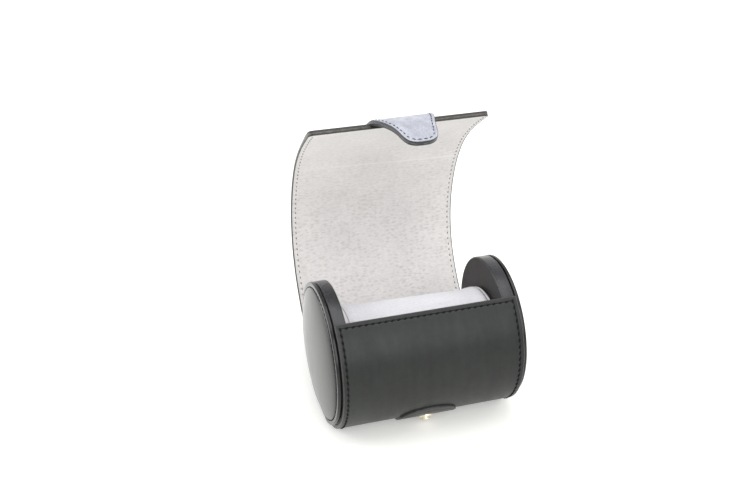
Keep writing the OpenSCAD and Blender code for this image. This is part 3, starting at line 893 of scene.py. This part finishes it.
tab_length, tab_root = 34.0, 16.0
tab_thick = 2.9
tab_leather_from = 1.4
tab_root_half, tab_tip_half = 16.5, 9.4
tab_corner = 7.5
tab_bend_radius = 44.1
closed_radius = 42.1
tab_kink = math.radians((math.degrees(arc_lengths[-1] / closed_radius) - arc_degrees[-1]) / 2)
tab_lean, tab_lean_more = 1.65, 1.35


def tab_half(s):
    """Half width: the tab narrows in an S from its root to its tip; s is counted from the hem."""
    narrowing = eased((s + 2.0) / (0.9 * tab_length + 2.0))
    return tab_root_half - (tab_root_half - tab_tip_half) * narrowing


# The tab's inner side, walked in small steps: it follows the flap's last arc as far as the hem,
# turns over the hem by the kink, and then bends at its own radius
walk_s = np.linspace(-tab_root - 2, tab_length + 2, 1081)
hem_y, hem_z, hem_heading = flap_line(flap_length)
walk_heading = (hem_heading + tab_kink * eased((walk_s + 1.0) / 4.0)
                + np.where(walk_s < 0, walk_s * curvatures[-1], walk_s / tab_bend_radius))
middle_heading = (walk_heading[1:] + walk_heading[:-1]) / 2
walk_y = running(np.diff(walk_s) * np.cos(middle_heading))
walk_z = running(np.diff(walk_s) * np.sin(middle_heading))
at_hem = int(np.argmin(np.abs(walk_s)))
walk_y += hem_y + flap_thick * math.sin(hem_heading) - walk_y[at_hem]
walk_z += hem_z - flap_thick * math.cos(hem_heading) - walk_z[at_hem]


def tab_place(x, s, depth):
    """A place on the tab: s past the hem, at a depth from its inner side outwards."""
    y, z, heading = (np.interp(s, walk_s, along) for along in (walk_y, walk_z, walk_heading))
    lean = tab_lean + tab_lean_more * np.clip((s + tab_root) / (tab_root + tab_length), 0, 1)
    return spots(x + lean, y + depth * np.sin(heading), z - depth * np.cos(heading))


# Painted reflection: the tab's top is charcoal leather, lit pale lavender by the overhead light.
tab_leather = smooth_leather("tab_leather", (158, 161, 173), (210, 213, 224),
                             on_piece=True, gloss=0.46, relief=0.6, streak=(110.0, 110.0, 110.0),
                             sheen=0.15, crevice=0.8)
tab_edge = painted_edge("tab_edge", (84, 84, 88), (26, 26, 29), core=0.0015)
tab_under = smooth_leather("tab_lining_leather", (34, 34, 36), (50, 50, 53),
                           on_piece=True, gloss=0.5)
blue_thread = thread_finish("blue_thread", (62, 68, 88))

tab_line = 1.9
tab_insets = [0, 0.06, 0.18, 0.36, 0.6, 0.9, 1.3, 1.6, 1.75, 1.85, 1.95, 2.05, 2.2, 2.5, 3.0, 3.6]
tab_spacing = (1.8, 1.0)
tab_plan = sheet_plan(tab_half, -tab_root, tab_length, tab_insets, tab_spacing, free_start=True,
                      corner=tab_corner)
tab_top = sheet_piece("tab_cover", tab_place, tab_plan,
                      sewn_top(tab_plan[2], tab_thick, tab_line, 0.2, 0.3),
                      lipped(tab_plan[2], 0.5, 0.05, 0.5, tab_leather_from),
                      [tab_leather, tab_edge], painted=0.3)
fit(tab_top, "charcoal_leather", None, "tab_root_leather", "tab_leather")

under_in = 0.6
under_plan = sheet_plan(lambda s: tab_half(s) - under_in, under_in - tab_root,
                        tab_length - under_in, [0, 0.08, 0.2, 0.5, 1.0], tab_spacing,
                        free_start=True, corner=tab_corner - under_in)
tab_below = sheet_piece("tab_underside", tab_place, under_plan, tab_leather_from,
                        rounded(under_plan[2], 0.35), [tab_under])
fit(tab_below, "black_leather", None, "tab_root_lining", "tab_lining")

# The hole in the underside for the socket, cut with a round punch that stays centred at x = 0
snap_from_hem = 22.3
socket_hole = 4.85
hole_turn = full_turn(48)[:, None]
inner_spot, outer_spot = tab_place(np.zeros(2), snap_from_hem, np.array([0.0, 1.0]))
outward = outer_spot - inner_spot
forward = np.cross(outward, [1.0, 0.0, 0.0])
circle = socket_hole * (np.cos(hole_turn) * np.array([1.0, 0.0, 0.0]) + np.sin(hole_turn) * forward)
circle += inner_spot * np.array([0.0, 1.0, 1.0])
low_ring, high_ring = circle - 2.0 * outward, circle + (tab_leather_from + 0.3) * outward
rings = [low_ring.mean(0) + 0 * circle, low_ring, high_ring, high_ring.mean(0) + 0 * circle]
punch = make_piece("socket_punch", rings, grid_faces(4, len(circle), closed=True), weld=True)


def worked(piece, kind, **settings):
    """Puts a modifier on a piece and applies it to the mesh."""
    modifier = piece.modifiers.new(kind, kind)
    for key, value in settings.items():
        setattr(modifier, key, value)
    bpy.context.view_layer.objects.active = piece
    bpy.ops.object.modifier_apply(modifier=kind)


def discard(piece):
    """Removes a helper object together with its mesh."""
    mesh = piece.data
    bpy.data.objects.remove(piece)
    bpy.data.meshes.remove(mesh)


worked(tab_below, "BOOLEAN", object=punch, operation="DIFFERENCE")
discard(punch)

tab_pitch = 3.0
tab_stitch = (2.2, 0.46)
side_s = np.linspace(-tab_root + 4, tab_length - tab_corner, 120)
round_tip = np.radians(np.linspace(0, 90, 30))
tip_radius = tab_corner - tab_line
right_x = np.concatenate([tab_half(side_s) - tab_line,
                          tab_tip_half - tab_corner + tip_radius * np.cos(round_tip)])
right_s = np.concatenate([side_s, tab_length - tab_corner + tip_radius * np.sin(round_tip)])
outline_x, outline_s = np.append(right_x, -right_x[::-1]), np.append(right_s, right_s[::-1])
walked = running(np.hypot(np.diff(outline_x), np.diff(outline_s)))
stops = np.linspace(0, walked[-1], int(walked[-1] / tab_pitch) + 1)
tab_row = sheet_stitches(tab_place, np.interp(stops, walked, outline_x),
                         np.interp(stops, walked, outline_s), tab_thick - 0.1, tab_stitch)
tab_thread = sew("tab_stitches", [tab_row], blue_thread)
fit(tab_thread, "charcoal_leather")

for piece in (tab_top, tab_below, tab_thread):
    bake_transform(piece)
for fitting in ("snap_socket", "socket_cap"):
    dress_node(fitting, brass)

# ---------------------------------------------------------------------------
# Cushion. A firm foam roll in a sleeve of near-white suede, closed by two sewn
# end pieces. The watch's strap goes round it. It lies loose in the case.

cushion_radius, cushion_half, cushion_corner = 29.5, 41.0, 3.0
cushion_gap = 0.3
cushion_height = axis_height + cushion_radius + cushion_gap - sole_drop
cushion_seam, seam_middle = 37.9, 0.7
cushion_right = 0.7
cushion_forward, cushion_turned = 2.0, 1.6
foam_less = 0.75
swell_limit, seam_lower = 0.8, 0.3


def cushion_grid(less, spacing, sides):
    """A cylinder along X with rounded ends, less millimetres smaller all round: the radius and x
    of its profile, and the angles that it is carried round."""
    radius, reach = cushion_radius - less - cushion_corner, cushion_half - less - cushion_corner
    bend = np.linspace(0, math.pi / 2, 9)
    swing, sink = cushion_corner * np.sin(bend), cushion_corner * np.cos(bend)
    face = np.linspace(0, radius, max(3, int(radius / spacing)))[:-1]
    body = np.linspace(-reach, reach, int(2 * reach / spacing) | 1)[1:-1]
    r = np.concatenate([face, radius + swing, np.full(len(body), radius + cushion_corner),
                        radius + sink, face[::-1]])
    flat_end = np.full(len(face), reach + cushion_corner)
    x = np.concatenate([-flat_end, -reach - sink, body, reach + swing, flat_end])
    return r[:, None], x[:, None], full_turn(sides)


def cushion_points(r, x, turn):
    """The profile carried round the roll's own axis, which lies above the middle of the sole."""
    return spots(x, r * np.sin(turn), cushion_height + r * np.cos(turn))


def swollen(r, x, turn):
    """The roll after its foam has pushed the cover out: a coarse copy under pressure in a cloth
    simulation, its travel held to swell_limit, then subdivided once. Returns a tree for finding
    the nearest place on it."""
    start = make_piece("cushion_start", cushion_points(r, x, turn),
                       grid_faces(len(r), len(turn), closed=True), weld=True)
    worked(start, "REMESH", mode="VOXEL", voxel_size=0.005)
    before = mesh_points(start.data)
    cloth = start.modifiers.new("cloth", "CLOTH")
    cloth.settings.use_pressure = True
    cloth.settings.uniform_pressure_force = 4.0
    cloth.settings.effector_weights.gravity = 0.0
    for frame_number in range(1, 21):
        bpy.context.scene.frame_set(frame_number)
    bpy.ops.object.modifier_apply(modifier="cloth")
    bpy.context.scene.frame_set(1)
    move = mesh_points(start.data) - before
    far = np.linalg.norm(move, axis=1, keepdims=True)
    move *= np.minimum(1.0, swell_limit / 1000.0 / np.maximum(far, 1e-9))
    start.data.vertices.foreach_set("co", (before + move).ravel())
    worked(start, "SUBSURF", levels=1, render_levels=1)
    shell = bmesh.new()
    shell.from_mesh(start.data)
    tree = BVHTree.FromBMesh(shell)
    shell.free()
    discard(start)
    return tree


def seam_grease_and_shade(tree, where, colour, height):
    """A thin darker line where the sleeve meets its end pieces: grease, and painted shade in the
    seam.
    """
    off_middle = sums(tree, "ABSOLUTE", add(tree, "SeparateXYZ", Vector=where).outputs["X"])
    seam = off_line(tree, off_middle, cushion_seam / 1000.0)
    # Grease and painted shade darken a thin line along each seam
    grease_and_shade = remap(tree, seam, 0.0001, 0.0005, 1.0, 0.0)
    return mixed(tree, "MULTIPLY", grease_and_shade, colour, paint(182, 174, 166)), height


white_suede = suede_finish("white_suede", (201, 200, 204), (226, 225, 230), nap=2600.0,
                           marks=seam_grease_and_shade)
r, x, turn = cushion_grid(0.0, 1.1, 176)
on_side = r > cushion_radius - 0.5
off_middle = np.abs(x - seam_middle)
skin = cushion_points(r, x, turn)
tree = swollen(*cushion_grid(foam_less, 4.0, 60))
nearest = [tree.find_nearest(p)[0] for p in (skin.reshape(-1, 3) / 1000.0).tolist()]
share = (eased((cushion_seam - 2.0 - off_middle) / 8.0) * on_side)[..., None]
skin = skin + share * (np.array(nearest).reshape(skin.shape) * 1000.0 - skin)
swell = seam_lower * np.clip(1 - (off_middle / cushion_seam) ** 2, 0, 1) ** 0.5 - seam_lower
groove = stitch_dip(off_middle - cushion_seam, 0.6, 0.4)
pucker = stitch_dip(off_middle - cushion_seam, -0.05, 1.4) * np.sin(56 * turn)
radial = spots(0.0, np.sin(turn), np.cos(turn))
skin = skin + radial * ((swell + groove + pucker) * on_side)[..., None]
skin += spots(cushion_right, -cushion_forward - cushion_turned * x / cushion_half, 0.0)
cushion = make_piece("cushion_cover", skin, grid_faces(len(r), len(turn), closed=True),
                     [white_suede], weld=True,
                     laid_flat=spots(x - seam_middle, turn * cushion_radius, r))
fit(cushion, "white_suede", "cushion", "cushion_sleeve", "cushion_end_left", "cushion_end_right",
    "cushion_core")

# ---------------------------------------------------------------------------
# Studio. A white table that runs on out of sight, a pale room and soft lamps.
# Both look white directly and in gloss, and light the object at a plain level.

table_paint, tree, surface = new_finish("table_paint", Base_Color=paint(240, 240, 236),
                                        Roughness=0.9, Specular_IOR_Level=0.1)
path = add(tree, "LightPath").outputs
seen = sums(tree, "MAXIMUM", path["Is Camera Ray"], path["Is Glossy Ray"])
glow = add(tree, "Emission", Color=(1.0, 1.0, 0.985, 1.0),
           Strength=sums(tree, "MULTIPLY", seen, 0.3))
both = feed(tree, add(tree, "AddShader"), {0: surface.outputs[0], 1: glow.outputs[0]})
feed(tree, tree.nodes["Material Output"], {"Surface": both.outputs[0]})
far = 3000.0
make_piece("table", [(-far, -far, 0), (far, -far, 0), (far, far, 0), (-far, far, 0)],
                    [range(4)], [table_paint])

world = bpy.data.worlds.new("room")
bpy.context.scene.world = world
world.use_nodes = True
tree = world.node_tree
path = add(tree, "LightPath").outputs
seen = sums(tree, "MAXIMUM", sums(tree, "MAXIMUM", path["Is Camera Ray"], path["Is Glossy Ray"]),
            path["Is Transmission Ray"])
feed(tree, tree.nodes["Background"],
     {"Color": (1.0, 1.0, 1.0, 1.0), "Strength": remap(tree, seen, 0.0, 1.0, 0.66, 1.0)})


def lamp(name, place, aim, size, power, colour=(1.0, 1.0, 1.0)):
    """A square soft box at a place, turned to face its aim; both in metres."""
    light = bpy.data.lights.new(name, "AREA")
    light.size = size
    light.energy = power
    light.color = colour
    made = bpy.data.objects.new(name, light)
    made.location = place
    x, y, z = np.array(aim) - np.array(place)
    made.rotation_euler = (math.atan2(math.hypot(x, y), -z), 0, math.atan2(y, x) - math.pi / 2)
    bpy.context.collection.objects.link(made)


lamp("top_box", (0.1, 0.0, 1.2), (0.0, 0.02, 0.06), 0.9, 5.0)
lamp("front_box", (0.1, -1.1, 0.8), (0.0, 0.0, 0.1), 0.9, 6.0)
lamp("right_box", (0.9, -0.3, 0.8), (0.0, 0.0, 0.08), 0.7, 3.0)
lamp("left_box", (-1.0, 0.45, 0.45), (0.0, 0.0, 0.05), 0.9, 9.0, (0.96, 0.98, 1.0))

bpy.context.scene.view_settings.view_transform = "Standard"
